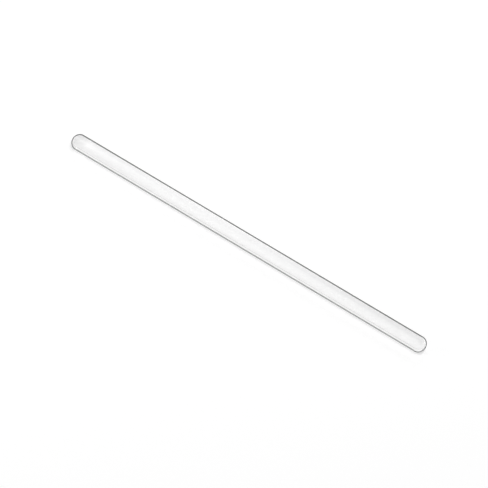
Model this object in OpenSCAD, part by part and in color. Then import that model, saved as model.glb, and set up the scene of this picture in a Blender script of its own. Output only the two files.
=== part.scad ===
// Solid glass stirring rod: one drawn length of clear glass, fire-polished at both ends.
// It lies along X, with the origin on its axis, midway between the tips.

/* [Rod] */
// Overall length, from tip to tip
rod_length = 150; // [60:1:400]
// Diameter of the drawn glass
rod_d = 6; // [3:0.1:12]

/* [Fire-polished ends] */
// Radius of the middle of a cut end, inside the edge that the flame rounds off
land_r = 0.2; // [0.1:0.05:1.2]
// Height that the low crown at the tip rises over the rounded edge
crown_rise = 0.05; // [0.02:0.01:0.1]

/* [Hidden] */
// Only the preview needs it: every curve here is a true circle
$fn = 96;
glass_colour = [0.86, 0.90, 0.89, 0.45];

rod_r = rod_d / 2;
// The edge is rounded from the shank to the land, so its radius is what lies between them
edge_r = rod_r - land_r;
// The crown and the edge's arc meet with no kink: both lie on one line through their two centres,
// which stand centre_gap apart, and the crown's centre is set back from the edge's by crown_setback
centre_gap = (crown_rise ^ 2 + land_r ^ 2) / (2 * crown_rise);
crown_r = edge_r + centre_gap;
crown_setback = centre_gap - crown_rise;
// Distance from the axis to the circle where the crown meets the rounded edge
crown_meets_r = crown_r * land_r / centre_gap;
end_height = edge_r + crown_rise;
shank_length = rod_length - 2 * end_height;

// The rounded edge of one end and what it surrounds, from where the shank stops
module edge_outline() {
    square([land_r, edge_r]);
    intersection() {
        translate([land_r, 0]) circle(r = edge_r);
        square([rod_r, edge_r]);
    }
}

// The low crown at the tip, down to where the rounded edge takes over
module crown_outline() {
    intersection() {
        translate([0, -crown_setback]) circle(r = crown_r);
        square([crown_meets_r, end_height]);
    }
}

// Half of the rod's section, from its axis outwards, with the axis along Y
module rod_outline() {
    square([rod_r, shank_length]);
    for (far = [0, 1])
        translate([0, far * shank_length]) mirror([0, 1 - far]) {
            edge_outline();
            crown_outline();
        }
}

// The whole rod, turned from its outline and laid along X
module rod() {
    color(glass_colour)
        rotate([0, 90, 0])
            translate([0, 0, -shank_length / 2])
                rotate_extrude() rod_outline();
}

rod();
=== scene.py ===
"""A clear glass stirring rod lying on a pale studio floor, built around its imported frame."""

import math
from typing import NamedTuple

import bmesh
import bpy
from mathutils import Matrix, Vector


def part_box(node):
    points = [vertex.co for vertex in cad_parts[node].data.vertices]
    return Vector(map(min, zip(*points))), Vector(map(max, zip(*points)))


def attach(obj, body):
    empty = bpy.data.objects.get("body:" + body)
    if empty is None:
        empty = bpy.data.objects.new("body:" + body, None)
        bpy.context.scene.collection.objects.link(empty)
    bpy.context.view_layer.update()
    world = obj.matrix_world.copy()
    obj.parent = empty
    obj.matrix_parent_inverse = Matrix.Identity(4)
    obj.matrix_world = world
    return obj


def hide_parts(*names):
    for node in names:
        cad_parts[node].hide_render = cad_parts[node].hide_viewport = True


bl_info = {
    "name": "Glass Stirring Rod",
    "version": (1, 0, 0),
    "blender": (4, 5, 0),
    "location": "3D View > Sidebar > Stirring Rod",
    "description": "Builds a fire-polished glass stirring rod and the studio it is shown in",
    "category": "Add Mesh",
}

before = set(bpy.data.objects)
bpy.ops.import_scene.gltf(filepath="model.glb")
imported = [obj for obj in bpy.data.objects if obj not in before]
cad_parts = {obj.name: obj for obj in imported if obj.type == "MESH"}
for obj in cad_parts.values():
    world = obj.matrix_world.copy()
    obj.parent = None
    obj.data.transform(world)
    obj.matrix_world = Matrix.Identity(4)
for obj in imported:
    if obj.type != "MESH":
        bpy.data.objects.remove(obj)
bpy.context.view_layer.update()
LOW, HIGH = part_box("rod")
ROD_LENGTH = HIGH.x - LOW.x
ROD_RADIUS = (HIGH.z - LOW.z) / 2

# Facets from the tip's centre to where the crown ends, and from there to the shank
CROWN_STEPS = 10
EDGE_STEPS = 26
# Distance from the end of the shank over which the draw ripple comes in
RIPPLE_FADE = 0.004


class RippleWave(NamedTuple):
    """A wave of the draw ripple: its length, share of the whole, start, and turns round the rod."""

    length: float
    share: float
    start: float
    turns: int


RIPPLE_WAVES = (
    RippleWave(length=0.0413, share=1.0, start=0.6, turns=0),
    RippleWave(length=0.0167, share=0.6, start=2.1, turns=1),
    RippleWave(length=0.0089, share=0.5, start=1.3, turns=2),
    RippleWave(length=0.19, share=0.7, start=0.0, turns=2),
)

FLOOR_HALF_WIDTH = 20.0
FLOOR_GRID = 8
# Bounces that a ray may make inside the rod, which carries light from end to end
GLASS_BOUNCES = 64
# Nearest and furthest things that the camera sees, as shares of its distance from the rod
CLIP_NEAR = 0.05
CLIP_FAR = 50.0
# How closely the faint draw lines lie round the rod, per radian, and how fast they change along it, per metre
LINES_AROUND = 9.0
LINES_ALONG = 14.0
# Scale and detail of the noise that the faint lines come from
LINES_NOISE_SCALE = 1.0
LINES_NOISE_DETAIL = 2.0
# Part of the noise's range over which a faint draw line comes in, and how strong it is against the painted
# shadow line
FAINT_RANGE = (0.58, 0.74)
FAINT_STRENGTH = 0.2
# Upward part of the surface's direction over which the painted rim shade goes from its strength below to its
# full one, so that it is painted lighter where the glass faces down
RIM_SHADE_TURN = (-0.5, 0.5)
# A ray's count of matt surfaces is below this until it has met one
BEFORE_FIRST_MATT = 0.5

# Half the length of the arched tent, and its facets from one side of the floor to the other
TENT_HALF_LENGTH = 0.5
TENT_ROWS = 96
# Each pair below is where the tent's cloth is dark, and where it is fully lit. First come the front and back
# edges of its overhead panel, as turns from straight up towards the back.
PANEL_FRONT = (math.radians(-42), math.radians(-28))
PANEL_BACK = (math.radians(26), math.radians(2))
# The panel is hung askew: its edges stand further back by this turn for each metre left of PANEL_SQUARE
PANEL_SKEW = math.radians(100)
PANEL_SQUARE = -0.045
# Places along the rod. The cloth below the panel's front edge, and all the cloth at the left, is lit from
# WALLS_START on, and the part at the left ends at LEFT_END.
WALLS_START = (-0.19, -0.125)
LEFT_END = (-0.05, -0.13)


class SoftLight(NamedTuple):
    """A rectangular light: each end is a place along the rod, and a tilt from straight up to the front."""

    name: str
    power_setting: str
    start: tuple
    end: tuple
    distance: float
    width: float


SOFT_LIGHTS = (
    SoftLight(
        name="back_light",
        power_setting="back_power",
        start=(-0.25, math.radians(-45)),
        end=(0.25, math.radians(-45)),
        distance=0.25,
        width=0.1,
    ),
    SoftLight(
        name="front_light",
        power_setting="front_power",
        start=(-0.25, math.radians(40)),
        end=(0.1, math.radians(15)),
        distance=0.25,
        width=0.08,
    ),
    SoftLight(
        name="side_light",
        power_setting="side_power",
        start=(-0.3, math.radians(45)),
        end=(-0.3, math.radians(45)),
        distance=0.3,
        width=0.2,
    ),
)


class RodSizes(bpy.types.PropertyGroup):
    """Sizes of the drawn rod and its fire-polished ends."""

    land_radius: bpy.props.FloatProperty(
        name="Land Radius",
        description="Radius of the middle of a cut end, inside the edge that the flame rounds off",
        default=0.0002,
        unit="LENGTH",
    )
    crown_rise: bpy.props.FloatProperty(
        name="Crown Rise",
        description="Height that the low crown at the tip rises over the rounded edge",
        default=0.00005,
        unit="LENGTH",
    )
    sides: bpy.props.IntProperty(
        name="Sides",
        description="Number of facets round the rod",
        default=192,
        min=12,
    )
    ring_spacing: bpy.props.FloatProperty(
        name="Ring Spacing",
        description="Distance between the rings of vertices along the shank",
        default=0.0008,
        min=0.0002,
        unit="LENGTH",
    )
    ripple: bpy.props.FloatProperty(
        name="Draw Ripple",
        description="How far the drawn surface wanders below its nominal radius",
        default=0.000012,
        unit="LENGTH",
    )


class GlassFinish(bpy.types.PropertyGroup):
    """Look of the clear glass, with a painted dark rim and a painted shadow line."""

    ior: bpy.props.FloatProperty(
        name="Refractive Index",
        description="Refractive index of borosilicate glass",
        default=1.474,
    )
    tint: bpy.props.FloatVectorProperty(
        name="Glass Tint",
        description="Colour of the clear glass",
        default=(1.0, 1.0, 1.0),
        subtype="COLOR",
        size=3,
    )
    # The rim colour below is painted shade: a dark band painted on the glass at glancing angles, in place of
    # the dark surroundings that its edge would show.
    rim_shade_colour: bpy.props.FloatVectorProperty(
        name="Rim Tint",
        description="Colour that the glass takes where it is seen at a glancing angle",
        default=(0.0, 0.0, 0.0),
        subtype="COLOR",
        size=3,
    )
    rim_shade_start: bpy.props.FloatProperty(
        name="Rim Start",
        description="Share of light mirrored by the surface where the rim starts to darken",
        default=0.07,
    )
    rim_shade_full: bpy.props.FloatProperty(
        name="Rim Full",
        description="Share of light mirrored by the surface where the rim is darkest",
        default=0.10,
    )
    # Painted shade: the rim's shade is painted lighter where the glass faces down, as if the floor lit it
    # from below.
    under_rim_shade: bpy.props.FloatProperty(
        name="Under Rim",
        description="How strong the rim is where the glass faces down, against where it faces up",
        default=0.95,
        subtype="FACTOR",
    )
    # Painted shadow: the clear line set below is a dark line painted along the glass, standing in for the
    # floor's shadow beside the rod seen through it; it is no mark of drawing.
    shadow_line_place: bpy.props.FloatProperty(
        name="Draw Line Place",
        description="Where the clear draw line lies, as a turn from the top of the rod towards the front",
        default=math.radians(68.6),
        subtype="ANGLE",
    )
    line_width: bpy.props.FloatProperty(
        name="Draw Line Width",
        description="Turn round the rod from the middle of the clear draw line to where it has faded out",
        default=math.radians(4.5),
        subtype="ANGLE",
    )
    line_depth: bpy.props.FloatProperty(
        name="Draw Line Depth",
        description="Depth of the faint lines that drawing leaves along the glass",
        default=0.000002,
        unit="LENGTH",
    )
    # This shade darkens the painted shadow line, and the faint draw lines less.
    shadow_and_draw_line_shade: bpy.props.FloatProperty(
        name="Draw Line Shade",
        description="How much light the clear draw line holds back",
        default=0.36,
        subtype="FACTOR",
    )
    line_roughness: bpy.props.FloatProperty(
        name="Draw Line Roughness",
        description="Roughness of the glass in the draw lines",
        default=0.02,
        subtype="FACTOR",
    )


class StudioSettings(bpy.types.PropertyGroup):
    """Floor, light and camera."""

    floor_colour: bpy.props.FloatVectorProperty(
        name="Floor Colour",
        description="Colour of the matt floor",
        default=(0.9, 0.9, 0.9),
        subtype="COLOR",
        size=3,
    )
    floor_lift: bpy.props.FloatProperty(
        name="Floor Lift",
        description="Light that the floor shows by itself, to the eye and in glass, so that it reads white",
        default=0.157,
    )
    surround_level: bpy.props.FloatProperty(
        name="Surround Level",
        description="Brightness of the studio all round",
        default=0.617,
    )
    overhead_strength: bpy.props.FloatProperty(
        name="Overhead Strength",
        description="Strength of the far light overhead, in watts per square metre",
        default=0.767,
    )
    overhead_spread: bpy.props.FloatProperty(
        name="Overhead Spread",
        description="Width of the far light overhead, as the rod sees it",
        default=math.radians(28.0),
        subtype="ANGLE",
    )
    overhead_lean: bpy.props.FloatProperty(
        name="Overhead Lean",
        description="How far the far light stands from straight overhead, towards the right end of the rod",
        default=math.radians(12.5),
        subtype="ANGLE",
    )
    tent_radius: bpy.props.FloatProperty(
        name="Tent Radius",
        description="Radius of the tent of white cloth that is arched over the rod",
        default=0.3,
        unit="LENGTH",
    )
    tent_level: bpy.props.FloatProperty(
        name="Tent Level",
        description="Brightness of the tent's lit panels, as the glass mirrors them",
        default=1.9,
    )
    back_power: bpy.props.FloatProperty(
        name="Back Power",
        description="Power of the long light behind the rod",
        default=0.08,
        unit="POWER",
    )
    front_power: bpy.props.FloatProperty(
        name="Front Power",
        description="Power of the long light in front of the rod",
        default=0.0325,
        unit="POWER",
    )
    side_power: bpy.props.FloatProperty(
        name="Side Power",
        description="Power of the square light beside the left end of the rod",
        default=0.086,
        unit="POWER",
    )
    view_azimuth: bpy.props.FloatProperty(
        name="View Azimuth",
        description="How far round the camera stands, from looking along Y",
        default=math.radians(36.137),
        subtype="ANGLE",
    )
    view_elevation: bpy.props.FloatProperty(
        name="View Elevation",
        description="How far above the floor the camera looks down from",
        default=math.radians(54.511),
        subtype="ANGLE",
    )
    view_width: bpy.props.FloatProperty(
        name="View Width",
        description="Width of the picture at the rod",
        default=0.16789,
        unit="LENGTH",
    )
    lens: bpy.props.FloatProperty(
        name="Lens",
        description="Focal length of the camera, in millimetres",
        default=1000.0,
        unit="CAMERA",
    )
    aim_right: bpy.props.FloatProperty(
        name="Aim Right",
        description="How far to the right of the rod's middle the camera aims",
        default=-0.001437,
        unit="LENGTH",
    )
    aim_up: bpy.props.FloatProperty(
        name="Aim Up",
        description="How far above the rod's middle, as the picture shows it, the camera aims",
        default=-0.000445,
        unit="LENGTH",
    )


def end_profile(sizes, radius):
    """Points (depth from the tip, radius) of one end, from the tip's centre to where the shank starts."""
    edge = radius - sizes.land_radius
    gap = (sizes.crown_rise**2 + sizes.land_radius**2) / (2 * sizes.crown_rise)
    crown = edge + gap
    meeting = math.asin(sizes.land_radius / gap)
    depth = edge + sizes.crown_rise
    points = []
    for i in range(CROWN_STEPS):
        angle = meeting * i / CROWN_STEPS
        points.append((crown * (1 - math.cos(angle)), crown * math.sin(angle)))
    for i in range(EDGE_STEPS + 1):
        angle = meeting + (math.pi / 2 - meeting) * i / EDGE_STEPS
        points.append((depth - edge * math.cos(angle), sizes.land_radius + edge * math.sin(angle)))
    return points, depth


def ripple_at(x, angle, height):
    """How far the drawn surface lies below its nominal radius at a place, from 0 to height."""
    whole = sum(wave.share for wave in RIPPLE_WAVES)
    wander = sum(
        wave.share * math.sin(2 * math.pi * x / wave.length + wave.start + wave.turns * angle)
        for wave in RIPPLE_WAVES
    )
    return height * (1 + wander / whole) / 2


def check_sizes(sizes):
    """Stop with a plain message if the ends can't be made at these sizes."""
    if not 0 < sizes.land_radius < ROD_RADIUS:
        raise ValueError("The land radius has to lie between nothing and the radius of the rod")
    if not 0 < sizes.crown_rise < sizes.land_radius:
        raise ValueError("The crown has to rise, and by less than the land radius")
    if ROD_LENGTH <= 2 * ROD_RADIUS:
        raise ValueError("The rod is too short for its two ends")


def rod_mesh(sizes):
    """The rod as rings of vertices along X, closed by a fan at each tip."""
    end, depth = end_profile(sizes, ROD_RADIUS)
    half = ROD_LENGTH / 2
    shank = half - depth
    count = max(2, round(2 * shank / sizes.ring_spacing))
    stations = [(-half + d, r, 0.0) for d, r in end[1:]]
    stations += [(-shank + 2 * shank * i / count, ROD_RADIUS, 1.0) for i in range(1, count)]
    stations += [(half - d, r, 0.0) for d, r in reversed(end[1:])]
    bm = bmesh.new()
    rings = []
    for x, nominal, drawn in stations:
        fade = min(1.0, max(0.0, (shank - abs(x)) / RIPPLE_FADE)) * drawn
        ring = []
        for k in range(sizes.sides):
            angle = 2 * math.pi * k / sizes.sides
            r = nominal - fade * ripple_at(x, angle, sizes.ripple)
            ring.append(bm.verts.new((x, r * math.cos(angle), r * math.sin(angle))))
        rings.append(ring)
    for ring, following in zip(rings, rings[1:]):
        for k in range(sizes.sides):
            j = (k + 1) % sizes.sides
            bm.faces.new((ring[k], ring[j], following[j], following[k]))
    for x, ring in ((-half, rings[0]), (half, rings[-1])):
        tip = bm.verts.new((x, 0, 0))
        for k in range(sizes.sides):
            bm.faces.new((tip, ring[k], ring[(k + 1) % sizes.sides]))
    bmesh.ops.recalc_face_normals(bm, faces=bm.faces)
    for face in bm.faces:
        face.smooth = True
    mesh = bpy.data.meshes.new("rod_glass")
    bm.to_mesh(mesh)
    bm.free()
    return mesh


def math_node(tree, operation, first, second=None):
    """Add a Math node that works on sockets or plain numbers, and give its result."""
    node = tree.nodes.new("ShaderNodeMath")
    node.operation = operation
    for socket, value in zip(node.inputs, (first, second)):
        if isinstance(value, bpy.types.NodeSocket):
            tree.links.new(value, socket)
        elif value is not None:
            socket.default_value = value
    return node.outputs[0]


def map_node(tree, value, from_range, to_range=(0.0, 1.0), smooth=True):
    """Add a Map Range node from one range to another, and give its result."""
    node = tree.nodes.new("ShaderNodeMapRange")
    if smooth:
        node.interpolation_type = "SMOOTHSTEP"
    node.inputs["From Min"].default_value, node.inputs["From Max"].default_value = from_range
    node.inputs["To Min"].default_value, node.inputs["To Max"].default_value = to_range
    tree.links.new(value, node.inputs["Value"])
    return node.outputs["Result"]


def before_floor(tree, path):
    """A value that is 1 until a ray has met something matt, and 0 after that."""
    return math_node(tree, "LESS_THAN", path.outputs["Diffuse Depth"], BEFORE_FIRST_MATT)


def seen_rays(tree):
    """A value that is 1 for rays that show a surface to the eye: straight, mirrored or through glass."""
    path = tree.nodes.new("ShaderNodeLightPath")
    shown = math_node(tree, "MAXIMUM", path.outputs["Is Camera Ray"], path.outputs["Is Glossy Ray"])
    shown = math_node(tree, "MAXIMUM", shown, path.outputs["Is Transmission Ray"])
    return math_node(tree, "MULTIPLY", shown, before_floor(tree, path))


def shadow_and_draw_lines(tree, finish):
    """A value that is 1 in one painted shadow line along the glass, which stands in for the floor's shadow
    seen through it, and less in faint draw lines.
    """
    place = tree.nodes.new("ShaderNodeTexCoord")
    axes = tree.nodes.new("ShaderNodeSeparateXYZ")
    tree.links.new(place.outputs["Object"], axes.inputs[0])
    turn = math_node(tree, "ARCTAN2", math_node(tree, "MULTIPLY", axes.outputs["Y"], -1.0), axes.outputs["Z"])
    away = math_node(tree, "ABSOLUTE", math_node(tree, "SUBTRACT", turn, finish.shadow_line_place))
    # Painted shadow: the clear line is a dark line painted at one turn round the rod, in place of the floor's
    # shadow seen through the glass.
    clear = map_node(tree, away, (finish.line_width, 0.0))
    grain = tree.nodes.new("ShaderNodeTexNoise")
    grain.noise_dimensions = "2D"
    grain.inputs["Scale"].default_value = LINES_NOISE_SCALE
    grain.inputs["Detail"].default_value = LINES_NOISE_DETAIL
    spot = tree.nodes.new("ShaderNodeCombineXYZ")
    tree.links.new(math_node(tree, "MULTIPLY", turn, LINES_AROUND), spot.inputs["X"])
    tree.links.new(math_node(tree, "MULTIPLY", axes.outputs["X"], LINES_ALONG), spot.inputs["Y"])
    tree.links.new(spot.outputs[0], grain.inputs["Vector"])
    faint = map_node(tree, grain.outputs["Fac"], FAINT_RANGE, (0.0, FAINT_STRENGTH))
    return math_node(tree, "MAXIMUM", clear, faint)


def glass_material(finish):
    """Clear borosilicate glass with faint draw lines, and painted shade: a dark thin rim and one dark shadow
    line painted on it.
    """
    material = bpy.data.materials.new("clear_glass")
    material.use_nodes = True
    tree = material.node_tree
    shader = tree.nodes["Principled BSDF"]
    mirror = tree.nodes.new("ShaderNodeFresnel")
    mirror.inputs["IOR"].default_value = finish.ior
    face = tree.nodes.new("ShaderNodeNewGeometry")
    normal = tree.nodes.new("ShaderNodeSeparateXYZ")
    tree.links.new(face.outputs["Normal"], normal.inputs[0])
    path = tree.nodes.new("ShaderNodeLightPath")
    lines = shadow_and_draw_lines(tree, finish)
    # Painted shade: the rim is darkened where the surface mirrors much light, that is at glancing angles, and
    # painted lighter where it faces down.
    rim = map_node(tree, mirror.outputs["Fac"], (finish.rim_shade_start, finish.rim_shade_full))
    share = map_node(tree, normal.outputs["Z"], RIM_SHADE_TURN, (finish.under_rim_shade, 1.0))
    rim = math_node(tree, "MULTIPLY", rim, share)
    # The painted shadow line and the faint draw lines darken the glass here too.
    dark = math_node(tree, "MAXIMUM", rim, math_node(tree, "MULTIPLY", lines, finish.shadow_and_draw_line_shade))
    # The painted shade goes only on outer faces, and only on rays that have not yet met anything matt, so it
    # darkens what the eye sees but not the floor's light through the glass.
    outside = math_node(tree, "SUBTRACT", 1.0, face.outputs["Backfacing"])
    dark = math_node(tree, "MULTIPLY", dark, outside)
    dark = math_node(tree, "MULTIPLY", dark, before_floor(tree, path))
    colour = tree.nodes.new("ShaderNodeMix")
    colour.data_type = "RGBA"
    clear_socket, rim_shade_socket = [s for s in colour.inputs if s.type == "RGBA"]
    clear_socket.default_value = (*finish.tint, 1)
    rim_shade_socket.default_value = (*finish.rim_shade_colour, 1)
    tree.links.new(dark, colour.inputs["Factor"])
    tree.links.new([s for s in colour.outputs if s.type == "RGBA"][0], shader.inputs["Base Color"])
    bump = tree.nodes.new("ShaderNodeBump")
    bump.invert = True
    bump.inputs["Distance"].default_value = finish.line_depth
    tree.links.new(lines, bump.inputs["Height"])
    tree.links.new(bump.outputs["Normal"], shader.inputs["Normal"])
    tree.links.new(math_node(tree, "MULTIPLY", lines, finish.line_roughness), shader.inputs["Roughness"])
    shader.inputs["IOR"].default_value = finish.ior
    shader.inputs["Transmission Weight"].default_value = 1.0
    return material


class STIRROD_OT_build_rod(bpy.types.Operator):
    """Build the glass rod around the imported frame"""

    bl_idname = "stirrod.build_rod"
    bl_label = "Build Rod"

    def execute(self, context):
        """Build the rod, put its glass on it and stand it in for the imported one."""
        scene = context.scene
        check_sizes(scene.stirrod_sizes)
        rod = bpy.data.objects.new("glass_rod", rod_mesh(scene.stirrod_sizes))
        scene.collection.objects.link(rod)
        rod.data.materials.append(glass_material(scene.stirrod_glass))
        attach(rod, "root")
        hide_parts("rod")
        return {"FINISHED"}


def floor_material(studio):
    """Matt pale floor that reads white and keeps the rod's shadow."""
    material = bpy.data.materials.new("studio_floor")
    material.use_nodes = True
    tree = material.node_tree
    tree.nodes.clear()
    out = tree.nodes.new("ShaderNodeOutputMaterial")
    both = tree.nodes.new("ShaderNodeAddShader")
    matt = tree.nodes.new("ShaderNodeBsdfDiffuse")
    matt.inputs["Color"].default_value = (*studio.floor_colour, 1)
    glow = tree.nodes.new("ShaderNodeEmission")
    tree.links.new(math_node(tree, "MULTIPLY", seen_rays(tree), studio.floor_lift), glow.inputs["Strength"])
    tree.links.new(matt.outputs[0], both.inputs[0])
    tree.links.new(glow.outputs[0], both.inputs[1])
    tree.links.new(both.outputs[0], out.inputs["Surface"])
    return material


def make_floor(scene, studio):
    """Lay the floor right under the rod."""
    mesh = bpy.data.meshes.new("studio_floor")
    bm = bmesh.new()
    bmesh.ops.create_grid(bm, x_segments=FLOOR_GRID, y_segments=FLOOR_GRID, size=FLOOR_HALF_WIDTH)
    bm.to_mesh(mesh)
    bm.free()
    floor = bpy.data.objects.new("studio_floor", mesh)
    floor.location.z = -ROD_RADIUS
    floor.data.materials.append(floor_material(studio))
    scene.collection.objects.link(floor)


def make_surround(scene, studio):
    """Light the studio evenly all round, and show it white to the eye and in glass."""
    world = bpy.data.worlds.new("studio_surround")
    scene.world = world
    world.use_nodes = True
    tree = world.node_tree
    tree.nodes.clear()
    out = tree.nodes.new("ShaderNodeOutputWorld")
    light = tree.nodes.new("ShaderNodeBackground")
    light.inputs["Color"].default_value = (1, 1, 1, 1)
    level = map_node(tree, seen_rays(tree), (0.0, 1.0), (studio.surround_level, 1.0), smooth=False)
    tree.links.new(level, light.inputs["Strength"])
    tree.links.new(light.outputs[0], out.inputs["Surface"])


def tent_material(studio):
    """White cloth, lit overhead, in front and at the left, and gone once light has met something matt."""
    material = bpy.data.materials.new("tent_cloth")
    material.use_nodes = True
    tree = material.node_tree
    tree.nodes.clear()
    out = tree.nodes.new("ShaderNodeOutputMaterial")
    place = tree.nodes.new("ShaderNodeTexCoord")
    axes = tree.nodes.new("ShaderNodeSeparateXYZ")
    tree.links.new(place.outputs["Object"], axes.inputs[0])
    x = axes.outputs["X"]
    turn = math_node(tree, "ARCTAN2", axes.outputs["Y"], axes.outputs["Z"])
    skew = math_node(tree, "MULTIPLY", math_node(tree, "SUBTRACT", x, PANEL_SQUARE), PANEL_SKEW)
    skewed = math_node(tree, "ADD", turn, skew)
    past_front = map_node(tree, skewed, PANEL_FRONT)
    overhead = math_node(tree, "MULTIPLY", past_front, map_node(tree, skewed, PANEL_BACK))
    front = math_node(tree, "SUBTRACT", 1.0, past_front)
    walls = math_node(tree, "MAXIMUM", front, map_node(tree, x, LEFT_END))
    walls = math_node(tree, "MULTIPLY", walls, map_node(tree, x, WALLS_START))
    lit = math_node(tree, "MAXIMUM", overhead, walls)
    glow = tree.nodes.new("ShaderNodeEmission")
    tree.links.new(math_node(tree, "MULTIPLY", lit, studio.tent_level), glow.inputs["Strength"])
    open_air = tree.nodes.new("ShaderNodeBsdfTransparent")
    shown = tree.nodes.new("ShaderNodeMixShader")
    path = tree.nodes.new("ShaderNodeLightPath")
    fac_socket, first_socket, second_socket = shown.inputs
    tree.links.new(before_floor(tree, path), fac_socket)
    tree.links.new(open_air.outputs[0], first_socket)
    tree.links.new(glow.outputs[0], second_socket)
    tree.links.new(shown.outputs[0], out.inputs["Surface"])
    material.cycles.emission_sampling = "NONE"
    return material


def make_tent(scene, studio):
    """Arch a tent over the rod. Only the glass's mirroring shows it, and it doesn't light the floor."""
    bm = bmesh.new()
    edges = []
    for i in range(TENT_ROWS + 1):
        angle = math.pi * i / TENT_ROWS
        y, z = studio.tent_radius * math.cos(angle), studio.tent_radius * math.sin(angle)
        edges.append([bm.verts.new((x, y, z)) for x in (-TENT_HALF_LENGTH, TENT_HALF_LENGTH)])
    for low, high in zip(edges, edges[1:]):
        bm.faces.new((low[0], low[1], high[1], high[0]))
    mesh = bpy.data.meshes.new("studio_tent")
    bm.to_mesh(mesh)
    bm.free()
    tent = bpy.data.objects.new("studio_tent", mesh)
    tent.location.z = -ROD_RADIUS
    tent.visible_camera = False
    tent.visible_diffuse = False
    tent.visible_transmission = False
    tent.visible_shadow = False
    tent.data.materials.append(tent_material(studio))
    scene.collection.objects.link(tent)


def place_above(x, tilt, distance):
    """A place at a distance from the rod's axis, tilted from straight up towards the front of the rod."""
    return Vector((x, -distance * math.sin(tilt), distance * math.cos(tilt)))


def make_overhead_light(scene, studio):
    """Put a broad far light overhead, leaning a little towards the right end of the rod."""
    data = bpy.data.lights.new("overhead_light", "SUN")
    data.energy = studio.overhead_strength
    data.angle = studio.overhead_spread
    light = bpy.data.objects.new("overhead_light", data)
    light.rotation_euler.y = studio.overhead_lean
    scene.collection.objects.link(light)


def make_soft_light(scene, studio, soft):
    """Hang a soft light that reaches from its start to its end, and turn it to the rod."""
    start = place_above(*soft.start, soft.distance)
    end = place_above(*soft.end, soft.distance)
    span = end - start
    along = span.normalized() if span.length else Vector((1, 0, 0))
    middle = (start + end) / 2
    away = middle - Vector((middle.x, 0, 0))
    away = (away - along * away.dot(along)).normalized()
    data = bpy.data.lights.new(soft.name, "AREA")
    data.shape = "RECTANGLE"
    data.size = span.length + soft.width
    data.size_y = soft.width
    data.energy = getattr(studio, soft.power_setting)
    light = bpy.data.objects.new(soft.name, data)
    light.location = middle
    light.rotation_mode = "QUATERNION"
    light.rotation_quaternion = Matrix((along, away.cross(along), away)).transposed().to_quaternion()
    light.visible_camera = False
    scene.collection.objects.link(light)


def make_camera(scene, studio):
    """Stand a long-lens camera so that the picture is view_width wide at the rod."""
    data = bpy.data.cameras.new("studio_camera")
    data.lens = studio.lens
    camera = bpy.data.objects.new("studio_camera", data)
    scene.collection.objects.link(camera)
    azimuth, elevation = studio.view_azimuth, studio.view_elevation
    back = Vector(
        (
            math.sin(azimuth) * math.cos(elevation),
            -math.cos(azimuth) * math.cos(elevation),
            math.sin(elevation),
        )
    )
    right = Vector((math.cos(azimuth), math.sin(azimuth), 0))
    up = back.cross(right)
    distance = studio.view_width * studio.lens / data.sensor_width
    camera.location = right * studio.aim_right + up * studio.aim_up + back * distance
    camera.rotation_mode = "QUATERNION"
    camera.rotation_quaternion = Matrix((right, up, back)).transposed().to_quaternion()
    data.clip_start = distance * CLIP_NEAR
    data.clip_end = distance * CLIP_FAR
    scene.camera = camera


class STIRROD_OT_set_stage(bpy.types.Operator):
    """Lay the floor, hang the lights and place the camera"""

    bl_idname = "stirrod.set_stage"
    bl_label = "Set Stage"

    def execute(self, context):
        """Make the floor, the surround, the tent, the lights and the camera."""
        scene = context.scene
        studio = scene.stirrod_studio
        if studio.tent_radius <= ROD_RADIUS:
            raise ValueError("The tent has to be wider than the rod")
        if studio.view_width <= 0 or studio.lens <= 0:
            raise ValueError("The picture's width and the lens have to be more than nothing")
        make_floor(scene, studio)
        make_surround(scene, studio)
        make_tent(scene, studio)
        make_overhead_light(scene, studio)
        for soft in SOFT_LIGHTS:
            make_soft_light(scene, studio, soft)
        make_camera(scene, studio)
        scene.view_settings.view_transform = "Standard"
        scene.cycles.blur_glossy = 0.0
        scene.cycles.max_bounces = GLASS_BOUNCES
        scene.cycles.transmission_bounces = GLASS_BOUNCES
        scene.cycles.glossy_bounces = GLASS_BOUNCES
        return {"FINISHED"}


class STIRROD_PT_panel(bpy.types.Panel):
    """Lists the steps that build the rod and its studio"""

    bl_idname = "STIRROD_PT_panel"
    bl_label = "Stirring Rod"
    bl_space_type = "VIEW_3D"
    bl_region_type = "UI"
    bl_category = "Stirring Rod"

    def draw(self, context):
        """List the settings of each group, then the operators."""
        for name, group in GROUPS:
            settings = getattr(context.scene, name)
            box = self.layout.box()
            for setting in group.__annotations__:
                box.prop(settings, setting)
        self.layout.operator(STIRROD_OT_build_rod.bl_idname)
        self.layout.operator(STIRROD_OT_set_stage.bl_idname)


GROUPS = (
    ("stirrod_sizes", RodSizes),
    ("stirrod_glass", GlassFinish),
    ("stirrod_studio", StudioSettings),
)
OTHERS = (STIRROD_OT_build_rod, STIRROD_OT_set_stage, STIRROD_PT_panel)


def register():
    """Register the property groups on the scene, then the operators and the panel."""
    for name, group in GROUPS:
        bpy.utils.register_class(group)
        setattr(bpy.types.Scene, name, bpy.props.PointerProperty(type=group))
    for cls in OTHERS:
        bpy.utils.register_class(cls)


def unregister():
    """Take back everything that register added."""
    for cls in reversed(OTHERS):
        bpy.utils.unregister_class(cls)
    for name, group in reversed(GROUPS):
        delattr(bpy.types.Scene, name)
        bpy.utils.unregister_class(group)


def main():
    """Build the rod and its stage."""
    register()
    bpy.ops.stirrod.build_rod()
    bpy.ops.stirrod.set_stage()


if __name__ == "__main__":
    main()
